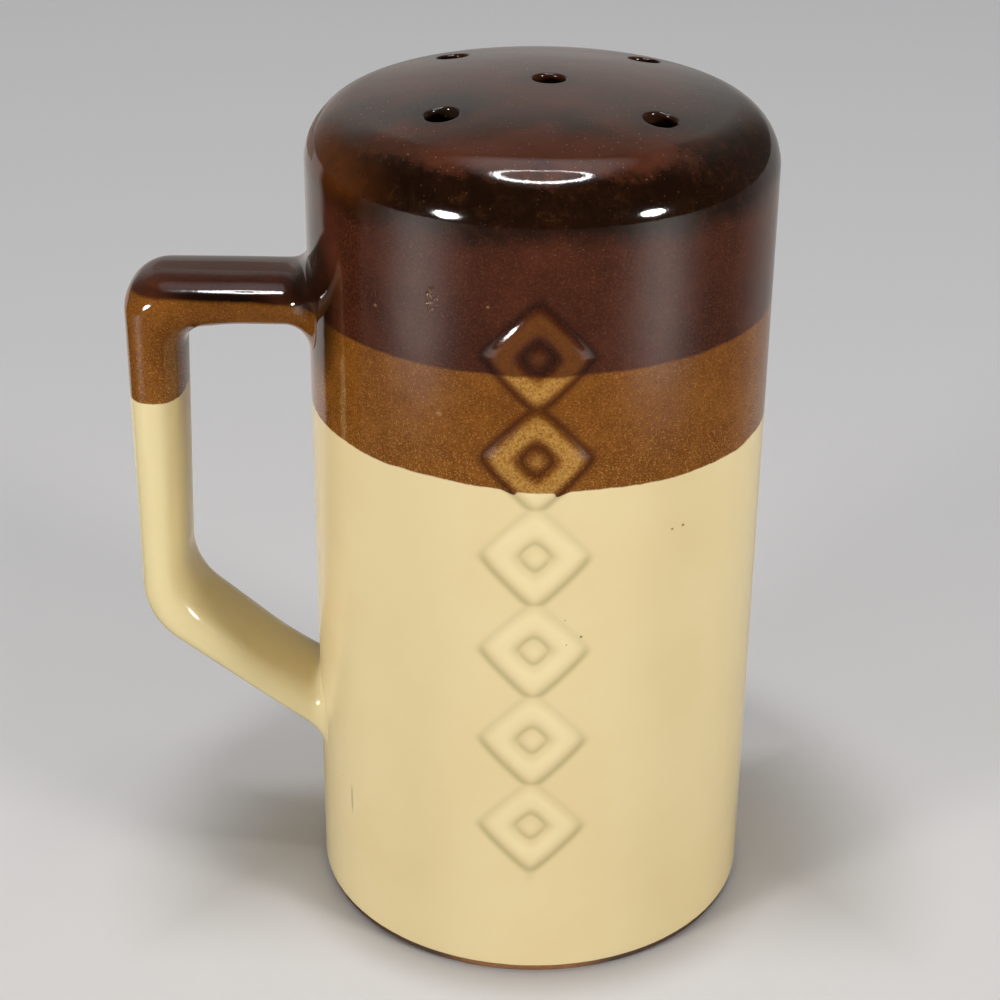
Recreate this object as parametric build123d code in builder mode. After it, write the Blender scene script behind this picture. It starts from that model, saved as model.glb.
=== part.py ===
"""Stoneware table shaker for grated cheese: a cast body with a domed, pierced top, a strap handle
luted to its side, and a soft stopper that closes the filling hole in its base.

Frame: +Z up, origin on the body's axis in the plane of the foot ring. The relief faces -Y and the
handle points to -X. Millimetres.
"""

import os
from math import atan2, cos, pi, sin, sqrt

from build123d import *

# Body
BODY_DIAMETER = 83.0
BODY_HEIGHT = 160.0
WALL = 4.5
CROWN_RADIUS = 152.0
SHOULDER_RADIUS = 11.0
FOOT_ROUNDING = 1.0
FLOOR_ROUNDING = 5.0

# Base: foot ring, recess inside it and filling hole
FOOT_RING_WIDTH = 7.0
RECESS_DEPTH = 3.5
FLOOR_THICKNESS = 5.5
FILL_HOLE_RADIUS = 19.0

# Pouring holes: one near the axis and four round it, punched by hand and a little off
POUR_HOLE_RADIUS = 2.8
POUR_HOLE_RIM = 0.5
POUR_HOLES = ((1.0, -0.4), (-16.7, -16.3), (19.5, -16.3), (-16.4, 20.5), (18.1, 21.0))

# Relief: a column of raised lozenges, each a frame round a small boss
LOZENGE_COUNT = 6
LOZENGE_WIDTH = 16.2
LOZENGE_HEIGHT = 17.0
LOZENGE_PITCH = 18.4
LOZENGE_STROKE = 2.9
LOZENGE_BOSS = 0.22
LOZENGE_CORNER = 0.6
RELIEF_TOP = 133.8
RELIEF_HEIGHT = 0.9

# Handle: a strap of rounded section in the XZ plane
HANDLE_WIDTH = 20.5
HANDLE_REACH = 74.65
ARM_TOP = 124.7
ARM_BOTTOM = 115.5
DIP_REACH = 54.0
DIP_BOTTOM = 114.2
GRIP_INNER_TOP = 64.0
GRIP_INNER_FOOT = 65.8
BEND_OUTER = 55.07
BEND_INNER = 61.95
KNEE_REACH = 49.5
KNEE_HEIGHT = 47.55
ROOT_OUTER = 30.43
ROOT_INNER = 42.25
CORNER_OUTER_RADIUS = 6.8
DIP_RADIUS = 40.0
CORNER_INNER_RADIUS = 5.0
BEND_OUTER_RADIUS = 14.0
BEND_INNER_RADIUS = 14.0
KNEE_RADIUS = 50.0
STRAP_EDGE_RADIUS = 4.0
UPPER_ROOT_FILLET = 3.5
LOWER_ROOT_FILLET = 2.0

# Stopper: a hollow flanged plug with two sealing beads and a grip bar across its cup
STOPPER_FIT = 0.05
FLANGE_GAP = 0.1
FLANGE_RADIUS = 23.0
FLANGE_THICKNESS = 2.0
FLANGE_EDGE = 0.8
PLUG_LENGTH = 9.5
PLUG_SINK = 0.4
PLUG_TAPER = 1.0
PLUG_WALL = 3.1
PLUG_CROWN = 2.0
PLUG_DRAFT = 3.0
BEAD_RADIUS = 0.5
BEAD_HEIGHTS = (2.0, 5.0)
GRIP_THICKNESS = 2.6
GRIP_SET_BACK = 0.7
GRIP_EDGE = 1.0

BODY_RADIUS = BODY_DIAMETER / 2
CAVITY_RADIUS = BODY_RADIUS - WALL
FLOOR_TOP = RECESS_DEPTH + FLOOR_THICKNESS
RECESS_RADIUS = BODY_RADIUS - FOOT_RING_WIDTH

os.makedirs("parts", exist_ok=True)


def crown_height(distance: float, sphere: float, top: float) -> float:
    """Height of a crown of that sphere radius, topping out on the axis, at a distance from the axis."""
    return top - sphere + sqrt(sphere**2 - distance**2)


def domed_half(radius: float, foot: float, top: float, sphere: float, shoulder: float, heel: float):
    """Half section of a domed cylinder, with its shoulder and its lower corner rounded."""
    edge = crown_height(radius, sphere, top)
    halfway = radius / 2
    with BuildSketch(Plane.XZ) as half:
        with BuildLine():
            Polyline((0, top), (0, foot), (radius, foot), (radius, edge))
            ThreePointArc((radius, edge), (halfway, crown_height(halfway, sphere, top)), (0, top))
        make_face()
        fillet(half.vertices().group_by(Axis.X)[-1].sort_by(Axis.Y)[-1], shoulder)
        fillet(half.vertices().sort_by(Axis.Y).group_by(Axis.Y)[0].sort_by(Axis.X)[-1], heel)
    return half


def lozenge(width: float, height: float, mode: Mode = Mode.ADD):
    """A rhombus standing on its point, in the sketch that is open."""
    across, up = width / 2, height / 2
    return Polygon((across, 0), (0, up), (-across, 0), (0, -up), align=None, mode=mode)


# Raised lozenges, carried down into the wall and trimmed to one height all round
half_angle = atan2(LOZENGE_HEIGHT, LOZENGE_WIDTH)
frame_width = LOZENGE_WIDTH - 2 * LOZENGE_STROKE / sin(half_angle)
frame_height = LOZENGE_HEIGHT - 2 * LOZENGE_STROKE / cos(half_angle)
first_centre = RELIEF_TOP - LOZENGE_HEIGHT / 2
lozenge_centres = [(0, first_centre - place * LOZENGE_PITCH) for place in range(LOZENGE_COUNT)]

with BuildPart() as relief:
    with BuildSketch(Plane.XZ.offset(BODY_RADIUS - WALL / 2)) as lozenges:
        with Locations(*lozenge_centres):
            lozenge(LOZENGE_WIDTH, LOZENGE_HEIGHT)
            lozenge(frame_width, frame_height, Mode.SUBTRACT)
            lozenge(LOZENGE_WIDTH * LOZENGE_BOSS, LOZENGE_HEIGHT * LOZENGE_BOSS)
        fillet(lozenges.vertices(), LOZENGE_CORNER)
    extrude(amount=WALL)
    with BuildSketch(Plane.XY):
        Circle(BODY_RADIUS + RELIEF_HEIGHT)
    extrude(amount=BODY_HEIGHT, mode=Mode.INTERSECT)

# Body: domed wall with its relief, cavity, foot ring, filling hole and pouring holes
body_half = domed_half(BODY_RADIUS, 0, BODY_HEIGHT, CROWN_RADIUS, SHOULDER_RADIUS, FOOT_ROUNDING)
cavity_half = domed_half(
    CAVITY_RADIUS,
    FLOOR_TOP,
    BODY_HEIGHT - WALL,
    CROWN_RADIUS - WALL,
    SHOULDER_RADIUS - WALL,
    FLOOR_ROUNDING,
)

with BuildPart() as shaker_body:
    add(body_half.sketch)
    revolve(axis=Axis.Z)
    with Locations(*[(*place, BODY_HEIGHT) for place in POUR_HOLES]):
        Hole(POUR_HOLE_RADIUS, depth=5 * WALL)
    rims = shaker_body.edges().filter_by(
        lambda edge: edge.center().Z > BODY_HEIGHT - WALL and edge.length < 2.2 * pi * POUR_HOLE_RADIUS
    )
    fillet(rims, POUR_HOLE_RIM)
    add(relief.part)
    add(cavity_half.sketch)
    revolve(axis=Axis.Z, mode=Mode.SUBTRACT)
    with BuildSketch(Plane.XY):
        Circle(RECESS_RADIUS)
    extrude(amount=RECESS_DEPTH, mode=Mode.SUBTRACT)
    with BuildSketch(Plane.XY.offset(RECESS_DEPTH)):
        Circle(FILL_HOLE_RADIUS)
    extrude(amount=FLOOR_THICKNESS, mode=Mode.SUBTRACT)
shaker_body.part.label = "shaker_body"
export_step(shaker_body.part, "parts/shaker_body.step")

# Handle: strap outline in the XZ plane, rounded along its edges and flared where it meets the wall
inside = -BODY_RADIUS / 2
outer_slope = (BEND_OUTER - ROOT_OUTER) / (HANDLE_REACH - BODY_RADIUS)
inner_slope = (KNEE_HEIGHT - ROOT_INNER) / (KNEE_REACH - BODY_RADIUS)
outer_inside = ROOT_OUTER - outer_slope * (BODY_RADIUS + inside)
inner_inside = ROOT_INNER - inner_slope * (BODY_RADIUS + inside)


def at_root(edge: Edge) -> bool:
    """Whether an edge runs round a root of the handle, on the body's wall."""
    middle = edge.position_at(0.5)
    return abs(Vector(middle.X, middle.Y).length - BODY_RADIUS) < 0.001 and 1 < middle.Z < ARM_TOP + 1


with BuildPart() as handle:
    with BuildSketch(Plane.XZ):
        with BuildLine():
            outer_line = FilletPolyline(
                (inside, ARM_TOP),
                (-HANDLE_REACH, ARM_TOP),
                (-HANDLE_REACH, BEND_OUTER),
                (inside, outer_inside),
                radius=(CORNER_OUTER_RADIUS, BEND_OUTER_RADIUS),
            )
            inner_line = FilletPolyline(
                (inside, ARM_BOTTOM),
                (-DIP_REACH, ARM_BOTTOM),
                (-GRIP_INNER_TOP, DIP_BOTTOM),
                (-GRIP_INNER_FOOT, BEND_INNER),
                (-KNEE_REACH, KNEE_HEIGHT),
                (inside, inner_inside),
                radius=(DIP_RADIUS, CORNER_INNER_RADIUS, BEND_INNER_RADIUS, KNEE_RADIUS),
            )
            Line(outer_line @ 0, inner_line @ 0)
            Line(outer_line @ 1, inner_line @ 1)
        make_face()
    extrude(amount=HANDLE_WIDTH / 2, both=True)
    strap_edges = handle.faces().filter_by(Axis.Y).edges()
    fillet(strap_edges.filter_by(lambda edge: edge.center().X < inside - 1), STRAP_EDGE_RADIUS)
    with BuildSketch(Plane.XY):
        Circle(BODY_RADIUS)
    extrude(amount=BODY_HEIGHT)
    root_edges = handle.edges().filter_by(at_root)
    fillet(root_edges.filter_by(lambda edge: edge.center().Z > BODY_HEIGHT / 2), UPPER_ROOT_FILLET)
    fillet(root_edges.filter_by(lambda edge: edge.center().Z < BODY_HEIGHT / 2), LOWER_ROOT_FILLET)
    with BuildSketch(Plane.XY):
        Circle(BODY_RADIUS)
    extrude(amount=BODY_HEIGHT, mode=Mode.SUBTRACT)
handle.part.label = "handle"
export_step(handle.part, "parts/handle.step")

# Stopper: flange in the recess, plug up through the floor, cup and grip bar open to below
flange_top = RECESS_DEPTH - FLANGE_GAP
flange_bottom = flange_top - FLANGE_THICKNESS
plug_top = flange_top + PLUG_LENGTH
bead_reach = FILL_HOLE_RADIUS - STOPPER_FIT
plug_radius = bead_reach - PLUG_SINK
cup_top = plug_top - PLUG_CROWN
bead_centres = [(bead_reach - BEAD_RADIUS, flange_top + height) for height in BEAD_HEIGHTS]

with BuildPart() as stopper:
    with BuildSketch(Plane.XZ) as plug_half:
        with BuildLine():
            Polyline(
                (0, flange_bottom),
                (FLANGE_RADIUS, flange_bottom),
                (FLANGE_RADIUS, flange_top),
                (plug_radius, flange_top),
                (plug_radius, FLOOR_TOP),
                (plug_radius - PLUG_TAPER, plug_top),
                (0, plug_top),
                close=True,
            )
        make_face()
        with Locations(*bead_centres):
            Circle(BEAD_RADIUS)
        fillet(plug_half.vertices().group_by(Axis.X)[-1], FLANGE_EDGE)
    revolve(axis=Axis.Z)
    with BuildSketch(Plane.XY.offset(flange_bottom)):
        Circle(plug_radius - PLUG_WALL)
    extrude(amount=cup_top - flange_bottom, taper=PLUG_DRAFT, mode=Mode.SUBTRACT)
    with BuildSketch(Plane.XY.offset(flange_bottom + GRIP_SET_BACK)):
        Rectangle(2 * plug_radius - PLUG_WALL, GRIP_THICKNESS)
    extrude(amount=cup_top - flange_bottom - GRIP_SET_BACK)
    grip_edges = stopper.faces().filter_by(Axis.Z).sort_by(Axis.Z)[1].edges().filter_by(Axis.X)
    fillet(grip_edges, GRIP_EDGE)
stopper.part.label = "stopper"
export_step(stopper.part, "parts/stopper.step")
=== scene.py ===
"""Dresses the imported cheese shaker: a glazed stoneware body with a pierced dome, its strap handle and the
soft stopper in its base, standing on a pale floor in soft studio light.

The frame is the model's own: +Z up, the relief on the -Y side, the handle towards -X. Sizes are in
millimetres and become metres as they enter the scene; angles are in degrees unless it says otherwise.
"""

import logging
from dataclasses import dataclass, field
from enum import Enum
from functools import cached_property, reduce
from math import acos, asin, cos, degrees, pi, radians, sin, sqrt, tan

import bpy
import numpy as np
from mathutils import Matrix


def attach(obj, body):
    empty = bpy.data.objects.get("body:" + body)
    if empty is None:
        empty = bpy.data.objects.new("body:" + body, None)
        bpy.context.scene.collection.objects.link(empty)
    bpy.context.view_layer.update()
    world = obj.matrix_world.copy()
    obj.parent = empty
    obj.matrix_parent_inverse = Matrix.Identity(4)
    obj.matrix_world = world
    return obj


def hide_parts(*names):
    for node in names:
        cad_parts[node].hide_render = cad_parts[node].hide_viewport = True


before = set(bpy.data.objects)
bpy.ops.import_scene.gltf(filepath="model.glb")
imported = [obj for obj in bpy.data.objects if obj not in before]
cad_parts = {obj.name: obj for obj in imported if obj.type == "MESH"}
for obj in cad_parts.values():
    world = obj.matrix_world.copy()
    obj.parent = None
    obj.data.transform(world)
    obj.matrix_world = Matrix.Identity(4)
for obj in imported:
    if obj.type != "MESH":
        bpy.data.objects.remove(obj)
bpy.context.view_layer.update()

LOG = logging.getLogger("shaker")
MM = 0.001
WELD = 1e-4
FINE = 60

Array = np.ndarray
Node = bpy.types.Node
Socket = bpy.types.NodeSocket
Piece = bpy.types.Object
Pair = tuple[float, float]
Place = tuple[float, float, float]
Colour = tuple[float, ...]


class Mark(str, Enum):
    """Numbers from 0 to 1 that a mesh holds at its points, for the glaze to read."""

    THIN = "thin"
    POOL = "pool"
    # Painted shade below each raised stroke, where the depth grows upwards.
    SHADE_BELOW = "under"
    INSIDE = "inside"
    BARE = "bare"


def srgb(red: int, green: int, blue: int) -> Colour:
    """A screen colour of 0 to 255 as the linear colour that a shader takes, with an alpha of 1."""
    share = np.array([red, green, blue]) / 255
    linear = np.where(share <= 0.04045, share / 12.92, ((share + 0.055) / 1.055) ** 2.4)
    return (*linear.tolist(), 1.0)


def smooth_step(low: float, high: float, value: Array) -> Array:
    """Rises from 0 at low to 1 at high along a cubic that is level at both ends."""
    share = np.clip((value - low) / (high - low), 0, 1)
    return share * share * (3 - 2 * share)


def line(start: Pair, end: Pair, count: int) -> Array:
    """Evenly spaced points from start to end, both included, as an array of count rows."""
    return np.linspace(start, end, count)


def arc(centre: Pair, radius: float, start: float, end: float, count: int) -> Array:
    """Points round a circle: the centre plus the radius times the cosine and sine of a growing angle."""
    angle = np.radians(np.linspace(start, end, count))
    return np.stack([centre[0] + radius * np.cos(angle), centre[1] + radius * np.sin(angle)], axis=1)


def joined(*stretches: Array) -> Array:
    """One run of points from several, each of which starts where the one before it ends."""
    return np.concatenate([stretches[0], *[stretch[1:] for stretch in stretches[1:]]])


def linked(name: str, data: bpy.types.ID) -> Piece:
    """A new object that holds the data, in the scene and at the origin."""
    piece = bpy.data.objects.new(name, data)
    bpy.context.scene.collection.objects.link(piece)
    return piece


def sheet(name: str, corners: list[Place]) -> Piece:
    """A single flat face with four corners, anticlockwise as seen from its front."""
    mesh = bpy.data.meshes.new(name)
    mesh.from_pydata((np.array(corners) * MM).tolist(), [], [(0, 1, 2, 3)])
    return linked(name, mesh)


def stand(piece: Piece, place: Array, *axes: Array) -> None:
    """Puts a camera or a lamp at a place, with its own x, y and z along the three axes."""
    turn = Matrix([[*row] for row in zip(*axes)])
    piece.matrix_world = Matrix.Translation((np.array(place) * MM).tolist()) @ turn.to_4x4()


class Skin:
    """Grid surfaces of one piece, welded where they meet into one closed mesh."""

    def __init__(self) -> None:
        """Starts with no surface."""
        self.points: list[Array] = []
        self.quads: list[Array] = []
        self.marks: dict[Mark, list[Array]] = {mark: [] for mark in Mark}
        self.count = 0

    def add(self, points: Array, marks: dict[Mark, Array] | None = None) -> None:
        """Adds a surface whose last column joins its first.

        A face has its first edge along the columns and its second along the rows, which is outwards when
        rows cross columns to the left.

        Args:
            points: Points by row and column, with x, y and z last.
            marks: Marks by row and column; those that are missing are 0.
        """
        rows, columns = points.shape[:2]
        index = self.count + np.arange(rows * columns).reshape(rows, columns)
        after = np.roll(index, -1, axis=1)
        quads = np.stack([index[:-1], after[:-1], after[1:], index[1:]], axis=-1)
        self.points.append(points.reshape(-1, 3))
        self.quads.append(quads.reshape(-1, 4))
        for mark, values in self.marks.items():
            here = (marks or {}).get(mark, np.zeros(1))
            values.append(np.broadcast_to(here, (rows, columns)).reshape(-1))
        self.count += rows * columns

    def make(self, name: str) -> Piece:
        """Welds the surfaces and puts them into the scene.

        Points that agree to a ten-thousandth of a millimetre become one. A face that loses a corner to
        that becomes a triangle, and one that loses two is dropped.

        Args:
            name: Name of the piece.

        Returns:
            The new object, at the origin.
        """
        points = np.concatenate(self.points)
        keys = np.round(points / WELD).astype(np.int64)
        first, inverse = np.unique(keys, axis=0, return_index=True, return_inverse=True)[1:]
        quads = inverse.reshape(-1)[np.concatenate(self.quads)]
        doubled = quads == np.roll(quads, -1, axis=1)
        lost = doubled.sum(axis=1)
        triangles = quads[lost == 1][~doubled[lost == 1]].reshape(-1, 3)
        mesh = bpy.data.meshes.new(name)
        mesh.from_pydata((points[first] * MM).tolist(), [], quads[lost == 0].tolist() + triangles.tolist())
        for mark, values in self.marks.items():
            layer = mesh.attributes.new(mark.value, "FLOAT", "POINT")
            layer.data.foreach_set("value", np.concatenate(values)[first].astype(np.float32))
        mesh.shade_smooth()
        mesh.validate()
        return linked(name, mesh)


class Wiring:
    """Adds shader nodes to a tree and joins them. A value is a number, a colour or another node's output."""

    def __init__(self, tree: bpy.types.NodeTree) -> None:
        """Takes the tree and empties it."""
        self.tree = tree
        tree.nodes.clear()

    def node(self, kind: str, inputs: dict[str | int, object] | None = None, **settings: object) -> Node:
        """Adds a node.

        Args:
            kind: The node's type, without its ShaderNode prefix.
            inputs: Values for its inputs, by name or number.
            settings: Values for the node's own properties.

        Returns:
            The node.
        """
        node = self.tree.nodes.new("ShaderNode" + kind)
        for name, value in settings.items():
            setattr(node, name, value)
        for name, value in (inputs or {}).items():
            if isinstance(value, Socket):
                self.tree.links.new(value, node.inputs[name])
            else:
                node.inputs[name].default_value = value
        return node

    def shader(self, kind: str, **inputs: object) -> Socket:
        """The output of a shader node; an input is named with an underscore for each space."""
        return self.node(kind, {name.replace("_", " "): value for name, value in inputs.items()}).outputs[0]

    def either(self, share: object, first: Socket, second: Socket) -> Socket:
        """A shader that goes from the first to the second as the share goes from 0 to 1."""
        return self.node("MixShader", {0: share, 1: first, 2: second}).outputs[0]

    def one_sided(self, front: Socket) -> Socket:
        """The shader on the front of a sheet, and nothing on its back."""
        back = self.node("NewGeometry").outputs["Backfacing"]
        return self.either(back, front, self.shader("BsdfTransparent"))

    def finish(self, surface: Socket) -> None:
        """Makes the shader the one that a material shows."""
        self.node("OutputMaterial", {"Surface": surface})

    def bump(self, height: Socket) -> Socket:
        """The surface's direction when it is raised by a height."""
        return self.node("Bump", {"Strength": 1.0, "Distance": MM, "Height": height}).outputs[0]

    def math(self, operation: str, *values: object) -> Socket:
        """The result of a Math node on up to three values."""
        return self.node("Math", dict(enumerate(values)), operation=operation).outputs[0]

    def times(self, *values: object) -> Socket:
        """The product of the values."""
        return reduce(lambda first, second: self.math("MULTIPLY", first, second), values)

    def plus(self, *values: object) -> Socket:
        """The sum of the values."""
        return reduce(lambda first, second: self.math("ADD", first, second), values)

    def fade(self, value: object, low: float, high: float) -> Socket:
        """Rises smoothly from 0 where the value is low to 1 where it is high; low may be the larger."""
        limits = {"Value": value, "From Min": low, "From Max": high}
        return self.node("MapRange", limits, interpolation_type="SMOOTHSTEP").outputs["Result"]

    def band(self, value: object, low: float, full: float, falling: float, gone: float) -> Socket:
        """Rises from 0 to 1 between low and full, and falls again between falling and gone."""
        return self.times(self.fade(value, low, full), self.fade(value, gone, falling))

    def spread(self, value: object, low: float, high: float) -> Socket:
        """Turns a value of 0 to 1 into one of low to high, along a straight line."""
        return self.node("MapRange", {"Value": value, "To Min": low, "To Max": high}).outputs["Result"]

    def mix(self, share: object, first: object, second: object) -> Socket:
        """A colour that goes from the first to the second as the share goes from 0 to 1."""
        return self.node("Mix", {0: share, 6: first, 7: second}, data_type="RGBA").outputs[2]

    def lay(self, colour: object, over: object, *shares: object) -> Socket:
        """Lays a colour over another, as strongly as the product of the shares."""
        return self.mix(self.times(*shares), colour, over)

    def parts(self, vector: object) -> tuple[Socket, ...]:
        """The x, y and z of a vector."""
        return tuple(self.node("SeparateXYZ", {0: vector}).outputs)

    @cached_property
    def at(self) -> Socket:
        """The point on the piece, in the model's frame."""
        point = self.node("TexCoord").outputs["Object"]
        return self.node("VectorMath", {0: point, "Scale": 1 / MM}, operation="SCALE").outputs[0]

    @cached_property
    def xyz(self) -> tuple[Socket, ...]:
        """The x, y and z of the point on the piece."""
        return self.parts(self.at)

    @cached_property
    def reach(self) -> Socket:
        """Distance of the point from the shaker's axis."""
        x, y, _ = self.xyz
        return self.math("SQRT", self.math("MULTIPLY_ADD", x, x, self.times(y, y)))

    def mark(self, mark: Mark) -> Socket:
        """One of the marks that the mesh holds at its points."""
        return self.node("Attribute", attribute_name=mark.value).outputs["Fac"]

    def noise(self, size: float, detail: float = 2, rough: float = 0.5) -> Socket:
        """Cloudy noise of about 0 to 1, by the width of its patches, its finer layers and their weight."""
        inputs = {"Vector": self.at, "Scale": 1 / size, "Detail": detail, "Roughness": rough}
        return self.node("TexNoise", inputs).outputs["Fac"]

    def cloud(self, size: float, low: float, high: float, detail: float = 2, rough: float = 0.5) -> Socket:
        """The same noise, faded from 0 where it is low to 1 where it is high."""
        return self.fade(self.noise(size, detail, rough), low, high)

    def ripple(self, size: float, depth: float, detail: float = 2, rough: float = 0.5) -> Socket:
        """The same noise, spread from minus the depth to the depth."""
        return self.spread(self.noise(size, detail, rough), -depth, depth)

    def dots(self, spacing: float, share: float, radius: float) -> Socket:
        """Scattered soft dots: 1 at the middle of a chosen share of Voronoi cells, 0 away from them.

        Args:
            spacing: Width of a cell.
            share: Share of the cells that have a dot.
            radius: Radius of a dot.

        Returns:
            The strength of the dots.
        """
        cells = self.node("TexVoronoi", {"Vector": self.at, "Scale": 1 / spacing}).outputs
        chosen = self.math("LESS_THAN", self.parts(cells["Color"])[0], share)
        return self.times(chosen, self.fade(cells["Distance"], radius / spacing, 0.4 * radius / spacing))

    def spot(self, place: Place, reach: Place) -> Socket:
        """A soft spot: 1 about a place, 0 where the offset over the reach along each axis is 1 long.

        Args:
            place: Middle of the spot.
            reach: How far it goes along x, y and z.

        Returns:
            The strength of the spot.
        """
        offset = self.node("VectorMath", {0: self.at, 1: place}, operation="SUBTRACT").outputs[0]
        share = self.node("VectorMath", {0: offset, 1: reach}, operation="DIVIDE").outputs[0]
        length = self.node("VectorMath", {0: share}, operation="LENGTH").outputs["Value"]
        return self.fade(length, 1.0, 0.4)


def paint(piece: Piece, name: str) -> Wiring:
    """Gives a piece a new material in place of any that it has, and returns the material's nodes."""
    material = bpy.data.materials.new(name)
    material.use_nodes = True
    piece.data.materials.clear()
    piece.data.materials.append(material)
    return Wiring(material.node_tree)


class GlazeSpotKind(Enum):
    """What firing left in the glaze: pits, a raised bubble, a grey scratch or a dark speck; also small bumps
    whose pale tint is painted glint, and painted shade where the handle's arm meets the wall.
    """

    SMOKE = "root_shade"
    PITS = "pits"
    BLISTER_AND_GLINT = "blister_and_glint"
    SCRATCH = "scratch"
    SPECK = "speck"


@dataclass(frozen=True)
class GlazeSpot:
    """One spot of the glaze, a flaw of the firing or a patch of painted shade: its kind, its middle and how
    far it goes along x, y and z.
    """

    kind: GlazeSpotKind
    place: Place
    reach: Place


# Painted shade on the arm where it flares into the wall.
ARM_ROOT_SHADE = (GlazeSpot(GlazeSpotKind.SMOKE, (-40.5, -8, 125), (6, 13, 7)),)

FLAWS_AND_ROOT_SHADE = (
    # Painted shade on the wall beside the arm's upper root; the entries after it are marks of the firing.
    GlazeSpot(GlazeSpotKind.SMOKE, (-38.5, -14, 125), (9, 15, 20)),
    GlazeSpot(GlazeSpotKind.PITS, (-17.5, -37.6, 133.7), (1.2, 1.6, 2.9)),
    GlazeSpot(GlazeSpotKind.BLISTER_AND_GLINT, (-16.4, -38.1, 113.6), (0.7, 0.7, 0.6)),
    # These two small bumps stand where glints show; their pale tint is painted glint.
    GlazeSpot(GlazeSpotKind.BLISTER_AND_GLINT, (-27.2, -31.4, 130.1), (0.4, 0.5, 0.35)),
    GlazeSpot(GlazeSpotKind.BLISTER_AND_GLINT, (-8.3, -40.7, 133.8), (0.35, 0.5, 0.3)),
    GlazeSpot(GlazeSpotKind.SCRATCH, (-33.9, -23.9, 26.5), (0.35, 0.5, 4.2)),
    GlazeSpot(GlazeSpotKind.SPECK, (25.4, -32.8, 90.9), (0.4, 0.5, 0.35)),
    GlazeSpot(GlazeSpotKind.SPECK, (23.5, -34.2, 90.8), (0.3, 0.5, 0.3)),
    GlazeSpot(GlazeSpotKind.SPECK, (8.2, -40.7, 72.8), (0.35, 0.5, 0.35)),
)


@dataclass(frozen=True)
class GlazeColours:
    """The colours of the glazes and the clay, as they look in plain light, and some that paint sheen, glint
    and shade.
    """

    dark: Colour = srgb(54, 24, 13)
    dark_warm: Colour = srgb(76, 37, 23)
    crown: Colour = srgb(80, 40, 24)
    crown_warm: Colour = srgb(101, 55, 37)
    dark_fleck: Colour = srgb(98, 58, 36)
    black: Colour = srgb(20, 9, 4)
    black_fleck: Colour = srgb(54, 30, 13)
    black_blot: Colour = srgb(58, 33, 13)
    # A grey for painted sheen: the room mirrored on the dome.
    dome_sheen: Colour = srgb(40, 38, 32)
    glow: Colour = srgb(104, 54, 18)
    pale_fleck: Colour = srgb(205, 176, 140)
    amber_deep: Colour = srgb(92, 50, 13)
    amber: Colour = srgb(130, 79, 27)
    amber_light: Colour = srgb(190, 138, 70)
    amber_thin: Colour = srgb(190, 146, 74)
    amber_pool: Colour = srgb(66, 28, 10)
    cream: Colour = srgb(226, 207, 158)
    cream_warm: Colour = srgb(220, 195, 144)
    cream_thin: Colour = srgb(235, 219, 170)
    cream_pool: Colour = srgb(180, 164, 116)
    speck: Colour = srgb(112, 92, 58)
    clay: Colour = srgb(168, 110, 60)
    clay_dark: Colour = srgb(92, 64, 42)
    # Painted shade on the foot's rim.
    painted_foot_shade: Colour = srgb(66, 46, 34)
    # Pale tint of a raised bubble, also used as painted glint on two small bumps.
    blister_and_glint: Colour = srgb(168, 124, 84)
    scratch: Colour = srgb(150, 140, 116)


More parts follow.
